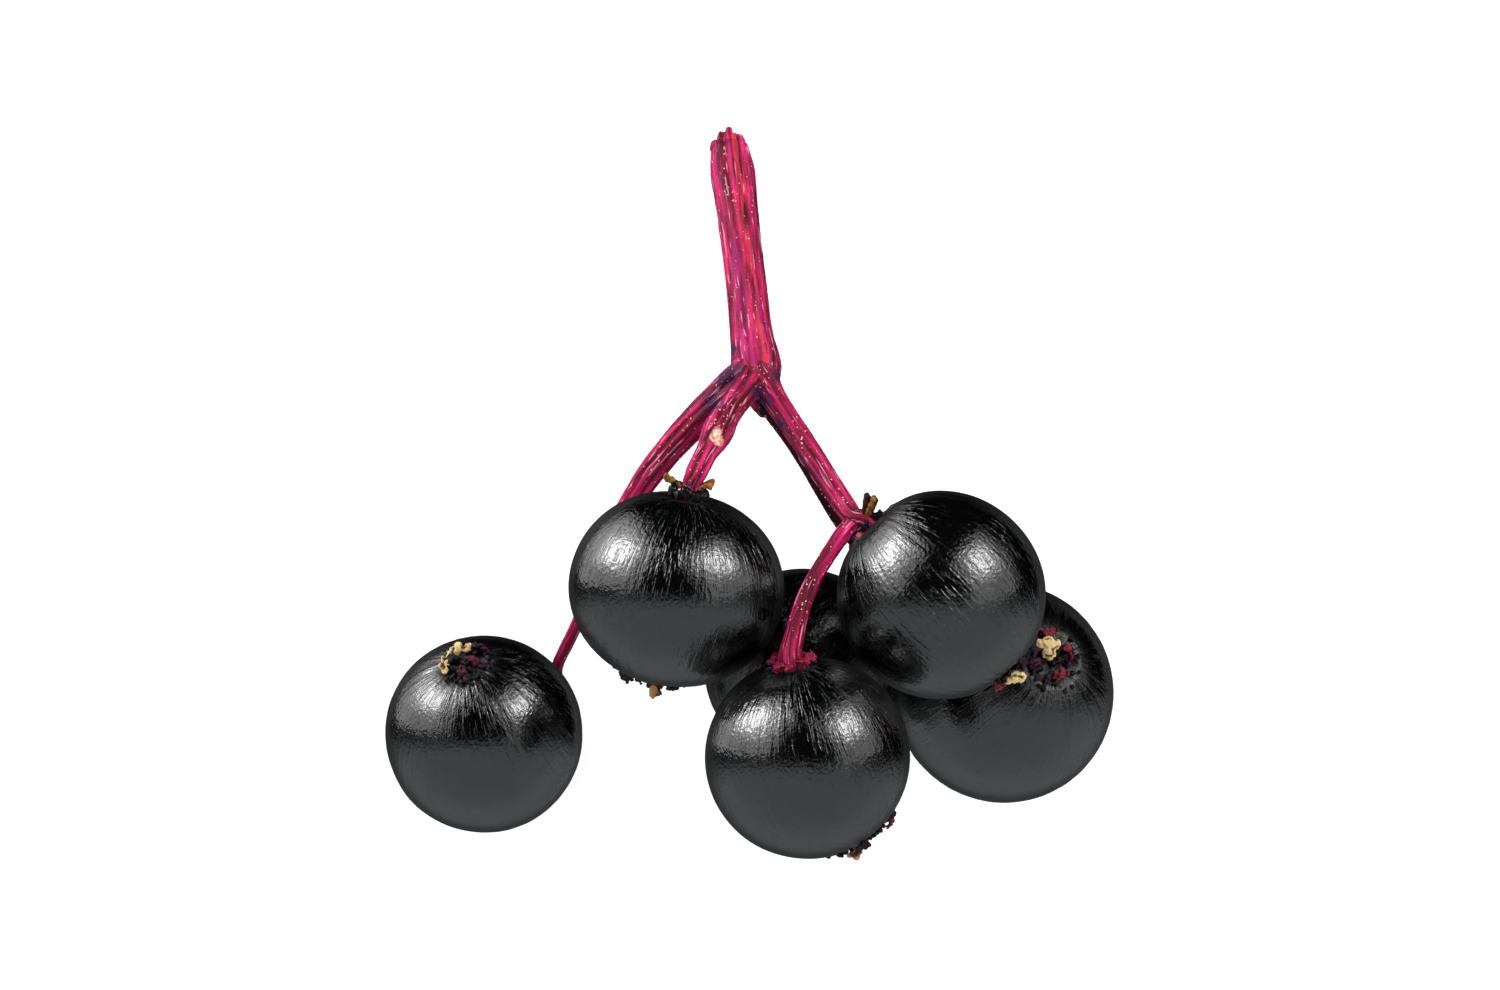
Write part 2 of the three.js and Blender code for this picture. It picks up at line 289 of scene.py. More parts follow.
def berry_piece(name, berry, seed, skin):
    """The fine mesh of one berry; meridians run from the dimple to the crown."""
    stalk, crown, radius = berry["stalk"], berry["crown"], berry["radius"]
    bend_axis = unit(np.cross(-stalk, crown) + 1e-9)
    bend = math.acos(np.clip(-stalk @ crown, -1, 1))
    side = unit(np.cross(stalk, [0.3, 0.2, 1.0]))
    other = np.cross(stalk, side)
    down, turn = globe_steps(ALONG_BERRY, ROUND_BERRY)
    straight = (np.cos(down)[:, None] * stalk + (np.sin(down) * np.cos(turn))[:, None] * side
                + (np.sin(down) * np.sin(turn))[:, None] * other)
    share = (1 - np.cos(down)) / 2
    facing = turned(straight, bend_axis, bend * share ** 1.5)
    from_stalk = np.arccos(np.clip(facing @ stalk, -1, 1))
    from_crown = np.arccos(np.clip(facing @ crown, -1, 1))
    grain = np.c_[np.cos(turn), np.sin(turn), down]
    height = -radius * (DIMPLE["depth"] * near(from_stalk, DIMPLE["spread"])
                        + RECESS["depth"] * near(from_crown, RECESS["spread"]))
    height += LUMPS * noise_at(facing, 1.4, seed)
    for order, (closeness, along, fold) in enumerate(FOLDS, 1):
        height += fold * noise_at(grain * (closeness, closeness, along), 1.0, seed + order)
    edge = berry["rim"] / radius
    puckers = noise_at(grain * (5, 5, 0.8), 1.0, seed + 3)
    height += CROWN_PUCKERS * puckers * near(from_crown - edge, PUCKER_REACH)
    rays = noise_at(grain * (11, 11, 1.0), 1.0, seed + 6)
    height += CROWN_RAYS * rays * near(from_crown - edge * 1.15, PUCKER_REACH)
    height += CROWN_RIM * np.clip(0.5 + 1.2 * puckers, 0, 2) * near(from_crown - edge, 0.04)
    inside = 1 / (1 + np.exp((from_crown - edge * 0.9) / 0.02))
    height += inside * (SCAR_CRUMPLE * noise_at(facing * radius, 4.5, seed + 4) - SCAR_DEPTH)
    puckers = noise_at(grain * (4, 4, 0.8), 1.0, seed + 5)
    height += STALK_PUCKERS * puckers * near(from_stalk - 0.2, 0.13)
    height += STALK_RIM * np.clip(0.4 + 1.3 * puckers, 0, 1) * near(from_stalk - 0.27, 0.03)
    points = radius * (facing + (berry["length"] - 1) * (facing @ stalk)[:, None] * stalk)
    points += facing * height[:, None] + berry["centre"]
    wither = np.clip(1.2 * np.exp(-((from_crown / (edge * 1.25)) ** 4)) + 0.3 * near(from_stalk, 0.2), 0, 1)
    piece = make_piece(f"skin_{name}", points, globe_faces(ALONG_BERRY - 1, ROUND_BERRY), skin,
                       {"grain": grain * radius, "wither": wither})
    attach(piece, "root")
    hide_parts(f"berry_{name}")
    return piece


def place_in_millimetres(tree):
    """The place of each point of a piece, so that a pattern has a real size."""
    return add_node(tree, "VectorMath", {
        0: add_node(tree, "TexCoord").outputs["Object"], 1: (1 / MM,) * 3}, operation="MULTIPLY")


# Ripe elderberry skin: waxy cuticle over flesh so full of pigment that it reads as black. It is
# smooth and glossy, but hair-fine wrinkles about 0.12 mm apart and pores 0.1 mm apart break the
# gloss into streaks. Its wax is thin where it withers, and looks duller where it is seen edge on.
STREAK_SPACING = 0.12
PORE_SPACING = 0.1
skin, tree = new_material("ripe_elderberry_skin")
grain = add_node(tree, "Attribute", attribute_name="grain")
wither = add_node(tree, "Attribute", attribute_name="wither")
place = place_in_millimetres(tree)
drawn_out = add_node(tree, "VectorMath", {
    0: grain.outputs["Vector"], 1: (1, 1, 0.1)}, operation="MULTIPLY")
streaks = add_node(tree, "TexNoise", {
    "Vector": drawn_out, "Scale": 0.55 / STREAK_SPACING, "Detail": 3.0, "Roughness": 0.75})
pores = add_node(tree, "TexNoise", {
    "Vector": place, "Scale": 1 / PORE_SPACING, "Detail": 1.5, "Roughness": 0.5})
clouds = add_node(tree, "TexNoise", {"Vector": place, "Scale": 0.7, "Detail": 4.0, "Roughness": 0.55})
flesh = add_node(tree, "Mix", {0: clouds, 6: linear("#020203"), 7: linear("#050506")}, data_type="RGBA")
tinted = add_node(tree, "Mix", {
    0: wither.outputs["Fac"], 6: flesh, 7: linear("#0a080a")}, data_type="RGBA")
wax = add_node(tree, "Math", {0: clouds, 1: streaks}, operation="ADD")
gloss = add_node(tree, "MapRange", {
    "Value": wax, "From Min": 0.7, "From Max": 1.3, "To Min": 0.1, "To Max": 0.2})
dull = add_node(tree, "Mix", {0: wither.outputs["Fac"], 2: gloss, 3: 0.45}, data_type="FLOAT")
edge_on = add_node(tree, "MapRange", {
    "Value": add_node(tree, "LayerWeight", {"Blend": 0.5}).outputs["Facing"],
    "From Min": 0.55, "From Max": 0.78}, interpolation_type="SMOOTHSTEP")
blunted = add_node(tree, "Mix", {0: edge_on, 2: dull, 3: 0.45}, data_type="FLOAT")
unwaxed = add_node(tree, "Math", {0: edge_on, 1: wither.outputs["Fac"]}, operation="MAXIMUM")
waxed = add_node(tree, "MapRange", {
    "Value": unwaxed, "From Min": 0.0, "From Max": 1.0, "To Min": 1.0, "To Max": 0.05})
fine = add_node(tree, "Bump", {"Height": pores, "Strength": 1.0, "Distance": 0.0125 * MM})
scratches = add_node(tree, "TexNoise", {
    "Vector": drawn_out, "Scale": 1.9 / STREAK_SPACING, "Detail": 2.0, "Roughness": 0.5})
scratch = add_node(tree, "MapRange", {
    "Value": scratches, "From Min": 0.6, "From Max": 0.7, "To Max": -0.3})
scored = add_node(tree, "Math", {0: streaks, 1: scratch}, operation="ADD")
lines = add_node(tree, "Bump", {
    "Height": scored, "Strength": 1.0, "Distance": 0.02 * MM, "Normal": fine})
shader = add_node(tree, "BsdfPrincipled", {
    "Base Color": tinted, "Roughness": blunted, "IOR": 1.75, "Coat Weight": waxed,
    "Coat Roughness": 0.08, "Coat IOR": 1.75, "Normal": lines, "Coat Normal": lines})
add_node(tree, "OutputMaterial", {"Surface": shader})

berries = {name: fit_berry(name) for name in BERRIES}
for order, (name, berry) in enumerate(berries.items()):
    piece = berry_piece(name, berry, 11 + 10 * order, skin)
    if name == "upper_left":
        hollow_to_light.objects.link(piece)  # the right soft box lights the far left berry past it
        hollow_to_light.collection_objects[0].light_linking.link_state = "EXCLUDE"


# ---- the stalk -------------------------------------------------------------------------------
# One grown piece: the top of a flower head's stalk and the branches that fork from it. Bundles
# of fibre stand out as ribs under a thin crimson bark. It was pulled off the bush, so the upper
# end is torn, and a pale oval scar shows where another branch has dropped.
ORIGIN = np.array((0.034, -0.128, -0.008))  # the stops below are measured from here
MAIN_STEM = [  # x, y, z, radius
    (-0.61, 10.5, 0.74, 0.58), (-0.53, 9.82, 1.0, 0.67), (-0.38, 8.6, 1.72, 0.64),
    (-0.1, 6.2, 3.45, 0.62), (0.07, 4.6, 4.69, 0.66), (0.2, 3.75, 5.42, 0.74),
    (0.24, 3.24, 5.86, 0.62)]
BRANCH_STOPS = {
    "upper_right": [
        (0.1, 4.3, 5.0, 0.5), (0.24, 3.63, 5.71, 0.55), (0.65, 2.94, 6.21, 0.4),
        (1.46, 1.7, 7.03, 0.36), (2.36, 0.32, 8.09, 0.33), (2.8, -0.38, 8.65, 0.33),
        (3.0, -0.62, 9.0, 0.3)],
    "lower_middle": [
        (3.05, -0.75, 8.95, 0.28), (2.72, -1.1, 9.25, 0.27), (2.36, -1.59, 9.65, 0.24),
        (1.74, -2.62, 10.42, 0.25), (1.29, -3.96, 11.2, 0.29)],
    "upper_left": [
        (0.04, 4.2, 5.1, 0.5), (0.06, 3.45, 5.86, 0.5), (-0.29, 2.91, 6.8, 0.44),
        (-0.68, 2.35, 7.8, 0.42), (-0.95, 1.8, 8.65, 0.48), (-1.22, 1.28, 9.35, 0.35),
        (-1.55, 0.62, 9.98, 0.33)],
    "far_left": [
        (0.0, 4.3, 4.95, 0.5), (0.0, 3.63, 5.57, 0.59), (-0.59, 3.16, 5.42, 0.52),
        (-1.39, 2.4, 5.22, 0.48), (-3.27, 0.21, 4.1, 0.38), (-4.33, -1.64, 3.28, 0.26),
        (-5.1, -3.69, 2.52, 0.2), (-5.5, -4.51, 2.11, 0.19), (-5.78, -5.1, 1.75, 0.18),
        (-5.8, -6.0, 1.05, 0.16), (-6.0, -7.5, 0.46, 0.15)],
    "far_right": [
        (0.06, 4.3, 4.95, 0.45), (0.1, 3.63, 5.51, 0.55), (0.4, 2.93, 5.45, 0.36),
        (1.02, 1.98, 5.33, 0.28), (2.72, -0.75, 4.75, 0.27), (4.15, -2.83, 3.75, 0.24),
        (4.37, -4.34, 2.78, 0.21), (4.36, -5.45, 1.82, 0.18), (4.69, -6.56, 0.88, 0.18)],
    "back": [(3.1, -1.5, 4.5, 0.22), (3.4, -1.9, 4.36, 0.24), (3.66, -2.4, 4.2, 0.2)]}
PEDICEL = {"far_left": 0.19, "upper_left": 0.31, "upper_right": 0.27, "lower_middle": 0.44,
           "far_right": 0.2, "back": 0.2}  # radius where it meets the berry
NECK = 0.25  # the last straight stretch into the dimple
# Across the stem, and the height to which the fibres there stand.
TORN_TOP = [(-0.55, -0.2), (-0.45, 0.14), (-0.34, 0.06), (-0.24, 0.24), (-0.1, 0.42), (0.06, 0.4),
            (0.15, 0.2), (0.3, 0.16), (0.42, -0.1), (0.62, -0.6)]
TORN_CORE = [(-0.28, 0.02), (-0.15, 0.2), (-0.02, 0.3), (0.12, 0.16), (0.26, 0.04)]
KNOB = (0.14, 2.78, 5.5, 0.2)  # stub of a dropped branch in the fork: x, y, z, radius
SCAR = (-0.96, 1.72, 9.4)  # its middle
SCAR_SIZE = 0.32
BRUISES = [  # purple patches round the fork, as seen from above: x, y, reach
    (-0.7, 3.6, 0.5), (-1.1, 2.75, 0.4), (0.42, 2.7, 0.3), (0.85, 2.0, 0.28), (0.22, 3.05, 0.24),
    (0.8, 3.5, 0.26), (-0.55, 4.3, 0.2)]
PIMPLED = [  # where pale pimples crowd
    (0.2, 3.45, 0.3), (-0.7, 3.6, 0.45), (-0.75, 2.2, 0.7), (1.3, 1.8, 0.6), (1.5, -3.0, 1.1),
    (-0.45, 9.0, 0.5), (-2.3, 1.4, 1.0), (2.6, -0.4, 0.6)]
GROOVE_SIDE = 0.3  # radians left of the upper face: a deep groove down the stem
OCHRE_SIDE = -0.2  # and ochre fibre right of it
GROOVE_WIDTH, OCHRE_WIDTH = 0.14, 0.3
ROUTE_STEP = 0.05
STEM_STRANDS, STEM_STRAND = 15, (0.19, 0.28)  # bundles of fibre round it, share of its radius
BRANCH_STRANDS, BRANCH_STRAND = 8, (0.24, 0.38)
CORE_SHARE = 0.74
BARK_VOXEL = 0.028
SAMPLES_AT_ONCE = 4000  # points matched to the routes in one go, to spare memory


def smooth_route(stops, spacing=ROUTE_STEP):
    """Evenly spaced points on a smooth curve through the stops; every column is carried."""
    stops = np.asarray(stops, dtype=float)
    gaps = np.linalg.norm(np.diff(stops[:, :3], axis=0), axis=1)
    at = np.r_[0, np.cumsum(gaps)]
    slope = np.diff(stops, axis=0) / gaps[:, None]
    inner = (slope[:-1] * gaps[1:, None] + slope[1:] * gaps[:-1, None]) / (gaps[:-1] + gaps[1:])[:, None]
    tangent = np.vstack([slope[:1], inner, slope[-1:]])
    where = np.linspace(0, at[-1], max(2, round(at[-1] / spacing) + 1))
    left = np.clip(np.searchsorted(at, where, side="right") - 1, 0, len(gaps) - 1)
    width = gaps[left][:, None]
    t = ((where - at[left]) / gaps[left])[:, None]
    return ((2 * t ** 3 - 3 * t ** 2 + 1) * stops[left] + (3 * t ** 2 - 2 * t ** 3) * stops[left + 1]
            + width * ((t ** 3 - 2 * t ** 2 + t) * tangent[left] + (t ** 3 - t ** 2) * tangent[left + 1]))


def carried_frame(centres, first=(0.1, 0.05, 1.0)):
    """Directions along and across a line of centres, carried along it without twisting."""
    along = unit(np.gradient(centres, axis=0))
    across = np.empty_like(along)
    side = np.array(first, dtype=float)
    for i, forward in enumerate(along):
        side = unit(side - (side @ forward) * forward)
        across[i] = side
    return along, across, np.cross(along, across)


def rounded_tube(centres, radii, steps):
    """A closed tube with domed ends along a line of centres, as points and faces."""
    along, across, other = carried_frame(centres)
    dome = np.radians((70, 40, 15))
    size = np.r_[np.cos(dome) * radii[0], radii, np.cos(dome[::-1]) * radii[-1]]
    rows = np.vstack([centres[0] - np.outer(np.sin(dome), along[0]) * radii[0], centres,
                      centres[-1] + np.outer(np.sin(dome[::-1]), along[-1]) * radii[-1]])
    across = np.vstack([across[:1]] * 3 + [across] + [across[-1:]] * 3)
    other = np.vstack([other[:1]] * 3 + [other] + [other[-1:]] * 3)
    turn = np.linspace(0, 2 * math.pi, steps, endpoint=False)
    ring = np.cos(turn)[None, :, None] * across[:, None] + np.sin(turn)[None, :, None] * other[:, None]
    points = (rows[:, None] + size[:, None, None] * ring).reshape(-1, 3)
    poles = centres[0] - along[0] * radii[0], centres[-1] + along[-1] * radii[-1]
    return np.vstack([poles[0], points, poles[1]]), globe_faces(len(rows), steps)


def fused(parts, voxel, softening):
    """Overlapping closed shapes fused into one skin: its points, normals and faces."""
    points, faces, start = [], [], 0
    for part_points, part_faces in parts:
        faces += [tuple(i + start for i in face) for face in part_faces]
        points.append(part_points)
        start += len(part_points)
    mesh = bpy.data.meshes.new("fusing")
    mesh.from_pydata(np.vstack(points).tolist(), [], faces)
    lump = bpy.data.objects.new("fusing", mesh)
    bpy.context.collection.objects.link(lump)
    remesh = lump.modifiers.new("fuse", "REMESH")
    remesh.mode = "VOXEL"
    remesh.voxel_size = voxel
    soften = lump.modifiers.new("soften", "SMOOTH")
    soften.factor = 0.5
    soften.iterations = softening
    result = lump.evaluated_get(bpy.context.evaluated_depsgraph_get()).to_mesh()
    points = np.empty(len(result.vertices) * 3)
    result.vertices.foreach_get("co", points)
    normals = np.empty(len(result.vertices) * 3)
    result.vertex_normals.foreach_get("vector", normals)
    faces = [tuple(face.vertices) for face in result.polygons]
    bpy.data.objects.remove(lump)
    bpy.data.meshes.remove(mesh)
    return points.reshape(-1, 3), normals.reshape(-1, 3), faces


def berry_end(name, lift):
    """A point on the pedicel's axis, by its height over the dimple of a berry."""
    berry = berries[name]
    return berry["centre"] + berry["stalk"] * (
        berry["radius"] * berry["length"] * (1 - DIMPLE["depth"]) + lift)


stem_route = smooth_route(MAIN_STEM)
stem_route[:, :3] += ORIGIN
stem_frame = carried_frame(stem_route[:, :3])
stem_length = len(stem_route) * ROUTE_STEP
routes = [(stem_route, stem_frame, 0.0, 0.0)]  # stops, frame, length already run, darkness
# The far right branch is marked for painted shade: its bark is coloured darker for the shadow it lies in.
for name, stops in BRANCH_STOPS.items():
    stops = [(*(np.array(stop[:3]) + ORIGIN), stop[3]) for stop in stops]
    stops += [(*berry_end(name, NECK), PEDICEL[name] * 0.85), (*berry_end(name, -0.05), PEDICEL[name])]
    route = smooth_route(stops)
    routes.append((route, carried_frame(route[:, :3], stem_frame[1][-1]),
                   0.0 if name == "lower_middle" else stem_length, 1.0 if name == "far_right" else 0.0))

chance = np.random.default_rng(7)
shapes = []
for number, (route, (along, across, other), run, dark) in enumerate(routes):
    main = number == 0
    core = route[6:] if main else route  # the core of the stem is torn off below its fibres
    shapes.append(rounded_tube(core[:, :3], core[:, 3] * CORE_SHARE, 14))
    if main:
        for sideways, height in TORN_CORE:
            foot = route[0, :3] - sideways * other[0] + 0.1 * across[0]
            shapes.append(rounded_tube(np.linspace(foot - height * along[0], foot + 0.4 * along[0], 5),
                                       np.array((0.11, 0.13, 0.15, 0.16, 0.16)), 9))
    count, sizes = (STEM_STRANDS, STEM_STRAND) if main else (BRANCH_STRANDS, BRANCH_STRAND)
    for strand in range(count):
        angle = 2 * math.pi * (strand + 0.5 + chance.uniform(-0.15, 0.15)) / count
        angle += GROOVE_SIDE if main else 0.0
        size = chance.uniform(*sizes)
        drift = angle + 0.07 * np.sin(np.arange(len(route)) * ROUTE_STEP * chance.uniform(0.5, 1.1)
                                      + chance.uniform(0, 6))
        reach = route[:, 3] * (1.0 - size)
        centres = route[:, :3] + reach[:, None] * (
            np.cos(drift)[:, None] * across + np.sin(drift)[:, None] * other)
        radii = route[:, 3] * size
        if main:
            sideways = centres[0, 0] - route[0, 0]
            height = np.interp(sideways, *np.array(TORN_TOP).T) + chance.uniform(-0.05, 0.05)
            if height > 0:
                steps = np.linspace(height, 0, max(2, round(height / ROUTE_STEP)), endpoint=False)[:, None]
                centres = np.vstack([centres[0] - along[0] * steps, centres])
                radii = np.r_[np.linspace(radii[0], radii[0] * 1.3, len(steps)), radii]
            else:
                gone = round(-height / ROUTE_STEP)
                centres, radii = centres[gone:], radii[gone:]
        shapes.append(rounded_tube(centres[::2], radii[::2], 10))
knob = ORIGIN + KNOB[:3]
shapes.append(rounded_tube(np.array((knob, knob + (0.25, -0.3, 0.0))), np.full(2, KNOB[3]), 12))
points, normals, faces = fused(shapes, BARK_VOXEL, 3)

samples = np.vstack([route[:, :3] for route, *_ in routes])
sample_radius = np.concatenate([route[:, 3] for route, *_ in routes])
sample_across = np.vstack([carried[1] for _, carried, *_ in routes])
sample_other = np.vstack([carried[2] for _, carried, *_ in routes])
sample_run = np.concatenate([run + ROUTE_STEP * np.arange(len(route)) for route, _, run, _ in routes])
sample_painted_shade = np.concatenate([np.full(len(route), dark) for route, _, _, dark in routes])
nearest = np.empty(len(points), dtype=int)
for start in range(0, len(points), SAMPLES_AT_ONCE):
    chunk = points[start:start + SAMPLES_AT_ONCE]
    gap = ((chunk ** 2).sum(axis=1)[:, None] + (samples ** 2).sum(axis=1) - 2 * chunk @ samples.T)
    nearest[start:start + SAMPLES_AT_ONCE] = np.argmin(gap / sample_radius ** 2, axis=1)
offset = points - samples[nearest]
fibre = np.c_[(offset * sample_across[nearest]).sum(axis=1), (offset * sample_other[nearest]).sum(axis=1),
              sample_run[nearest]]
depth = np.linalg.norm(offset, axis=1) / sample_radius[nearest]
# Points lying below the strands' crests, and the deep groove down the stem, are kept for painted shade: the
# bark is coloured darker there.
groove_shade = np.clip((0.97 - depth) / 0.16, 0, 1)
angle = np.arctan2(fibre[:, 1], fibre[:, 0])
on_stem = nearest < len(stem_route)
wander = GROOVE_SIDE + 0.12 * np.sin(0.9 * fibre[:, 2] + 1.0)
broken = np.clip(0.55 + 1.1 * noise_at(fibre * (0, 0, 0.8), 1.0, 65), 0, 1)
in_groove = on_stem * broken * near(angle - wander, GROOVE_WIDTH)
groove_shade = np.maximum(groove_shade, in_groove)


def patches(spots):
    """How far each point of the stalk lies inside any of some round patches."""
    return np.max([np.exp(-((points - ORIGIN - (x, y, 0.0))[:, :2] ** 2).sum(axis=1) / reach ** 2)
                   for x, y, reach in spots], axis=0)


bruise, pimpled = patches(BRUISES), patches(PIMPLED)
ochre = on_stem * near(angle - OCHRE_SIDE, OCHRE_WIDTH)
scar = np.linalg.norm((points - ORIGIN - SCAR) / (0.75, 1.15, 1.0), axis=1) / SCAR_SIZE
height = 0.02 * noise_at(fibre * (7, 7, 0.6), 1.0, 61) - 0.05 * in_groove
height += 0.014 * noise_at(fibre * (17, 17, 1.6), 1.0, 62)
height += 0.007 * noise_at(points, 14.0, 63)
height += 0.05 * near(scar - 1.0, 0.28) - 0.05 * (scar < 0.85) * (
    1 + 0.7 * noise_at(points, 12.0, 64))
points = points + normals * height[:, None]
bark, tree = new_material("ribbed_crimson_bark")
stalk = make_piece("stalk_bark", points, faces, bark, {
    "fibre": fibre, "groove_shade_bruise_scar": np.c_[groove_shade, bruise, np.clip(1.25 - scar, 0, 1)],
    "shade_and_stain": np.c_[sample_painted_shade[nearest], ochre, pimpled]})
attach(stalk, "root")
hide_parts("stalk")
stalk.visible_glossy = False  # keeps red off the black skins


def three_kept(tree, name):
    """The three values that a mesh keeps at each point under a name, as separate outputs."""
    return add_node(tree, "SeparateXYZ", {
        0: add_node(tree, "Attribute", attribute_name=name).outputs["Vector"]})


# Living elder bark: crimson with anthocyanin, its ribs magenta in bands, with ochre streaks of fibre.
# Its grooves are coloured dark red as painted shade, thin pale pink lines along the fibre crests
# are painted highlights, and the far right branch is painted darker as shade. Its fibres are
# about 0.09 mm apart, and pale pimples stand on it near the fork: partly real lenticels, partly
# painted glints.
FIBRE_SPACING = 0.09
PIMPLE_SPACING = 0.12
fibre_at = add_node(tree, "Attribute", attribute_name="fibre")
groove_shade_bruise_scar = three_kept(tree, "groove_shade_bruise_scar")
shade_and_stain = three_kept(tree, "shade_and_stain")
place = place_in_millimetres(tree)
drawn_out = add_node(tree, "VectorMath", {
    0: fibre_at.outputs["Vector"], 1: (1, 1, 0.08)}, operation="MULTIPLY")
streaks = add_node(tree, "TexNoise", {
    "Vector": drawn_out, "Scale": 0.5 / FIBRE_SPACING, "Detail": 3.0, "Roughness": 0.6})
bands = add_node(tree, "TexNoise", {"Vector": drawn_out, "Scale": 2.3, "Detail": 2.0, "Roughness": 0.5})
grit = add_node(tree, "TexNoise", {"Vector": place, "Scale": 9.0, "Detail": 4.0, "Roughness": 0.65})
pimples = add_node(tree, "TexVoronoi", {
    "Vector": place, "Scale": 1 / PIMPLE_SPACING, "Randomness": 1.0}, feature="F1")
crimson = add_node(tree, "ValToRGB", {0: streaks})
crimson.color_ramp.elements[0].position, crimson.color_ramp.elements[0].color = 0.38, linear("#4c041c")
crimson.color_ramp.elements[1].position, crimson.color_ramp.elements[1].color = 0.69, linear("#e02274")
crimson.color_ramp.elements.new(0.54).color = linear("#a40c4a")
ochre_amount = add_node(tree, "Math", {
    0: shade_and_stain.outputs["Y"], 1: 0.3, 2: streaks}, operation="MULTIPLY_ADD")
ochre = add_node(tree, "MapRange", {"Value": ochre_amount, "From Min": 0.68, "From Max": 0.95})
streaked = add_node(tree, "Mix", {
    0: ochre, 6: crimson.outputs["Color"], 7: linear("#cc3638")}, data_type="RGBA")
left_side = add_node(tree, "MapRange", {
    "Value": add_node(tree, "SeparateXYZ", {0: fibre_at.outputs["Vector"]}).outputs["Y"],
    "From Min": 0.1, "From Max": 0.5, "To Max": 0.13})
band = add_node(tree, "Math", {0: bands, 1: left_side}, operation="SUBTRACT")
magenta = add_node(tree, "MapRange", {"Value": band, "From Min": 0.42, "From Max": 0.3, "To Max": 0.6})
ribbed = add_node(tree, "Mix", {0: magenta, 6: streaked, 7: linear("#94105e")}, data_type="RGBA")
# Painted shade: the grooves between the ribs are coloured dark red.
groove_shaded = add_node(tree, "Mix", {
    0: groove_shade_bruise_scar.outputs["X"], 6: ribbed, 7: linear("#5c0814")}, data_type="RGBA")
bruise = add_node(tree, "Math", {0: groove_shade_bruise_scar.outputs["Y"], 1: grit}, operation="MULTIPLY")
bruised = add_node(tree, "Mix", {
    0: add_node(tree, "MapRange", {"Value": bruise, "From Min": 0.12, "From Max": 0.42, "To Max": 0.85}),
    6: groove_shaded, 7: linear("#34123a")}, data_type="RGBA")
# Painted shade: where marked, the bark is coloured a dark maroon.
shaded = add_node(tree, "Mix", {
    0: shade_and_stain.outputs["X"], 6: bruised, 7: linear("#38061a")}, data_type="RGBA")
# Painted highlights: thin pale pink lines along the fibre crests stand in for the glint of light on them.
highlight_line = add_node(tree, "TexNoise", {
    "Vector": drawn_out, "Scale": 1.1 / FIBRE_SPACING, "Detail": 1.0, "Roughness": 0.4})
highlight_lined = add_node(tree, "Mix", {
    0: add_node(tree, "MapRange", {"Value": highlight_line, "From Min": 0.65, "From Max": 0.71, "To Max": 0.5}),
    6: shaded, 7: linear("#f4a8c8")}, data_type="RGBA")
# Pale pimples: partly real lenticels, partly painted glints of light on the bark.
bead_size = add_node(tree, "Math", {
    0: add_node(tree, "SeparateXYZ", {0: pimples.outputs["Color"]}).outputs["X"], 1: 0.28, 2: 0.04},
    operation="MULTIPLY_ADD")
pimple = add_node(tree, "MapRange", {
    "Value": pimples.outputs["Distance"], "From Min": bead_size,
    "From Max": add_node(tree, "Math", {0: bead_size, 1: 0.55}, operation="MULTIPLY")})
crowding = add_node(tree, "Math", {0: shade_and_stain.outputs["Z"], 1: 0.16, 2: grit}, operation="MULTIPLY_ADD")
sparse = add_node(tree, "Math", {
    0: pimple, 1: add_node(tree, "MapRange", {"Value": crowding, "From Min": 0.555, "From Max": 0.6})},
    operation="MULTIPLY")
specks_and_glints = add_node(tree, "Mix", {0: sparse, 6: highlight_lined, 7: linear("#fbd3be")}, data_type="RGBA")
scab = add_node(tree, "Mix", {
    0: add_node(tree, "MapRange", {"Value": grit, "From Min": 0.4, "From Max": 0.54}),
    6: linear("#c8403a"), 7: linear("#ffdcc4")}, data_type="RGBA")
scarred = add_node(tree, "Mix", {
    0: add_node(tree, "MapRange", {"Value": groove_shade_bruise_scar.outputs["Z"], "From Min": 0.3, "From Max": 0.5}),
    6: specks_and_glints, 7: scab}, data_type="RGBA")
rough = add_node(tree, "MapRange", {
    "Value": grit, "From Min": 0.3, "From Max": 0.7, "To Min": 0.38, "To Max": 0.6})
beads = add_node(tree, "Bump", {"Height": pimple, "Strength": 0.6, "Distance": 0.02 * MM})
ridges = add_node(tree, "Bump", {
    "Height": streaks, "Strength": 1.0, "Distance": 0.065 * MM, "Normal": beads})
shader = add_node(tree, "BsdfPrincipled", {
    "Base Color": scarred, "Roughness": rough, "IOR": 1.45, "Specular IOR Level": 0.2, "Normal": ridges})
add_node(tree, "OutputMaterial", {"Surface": shader})


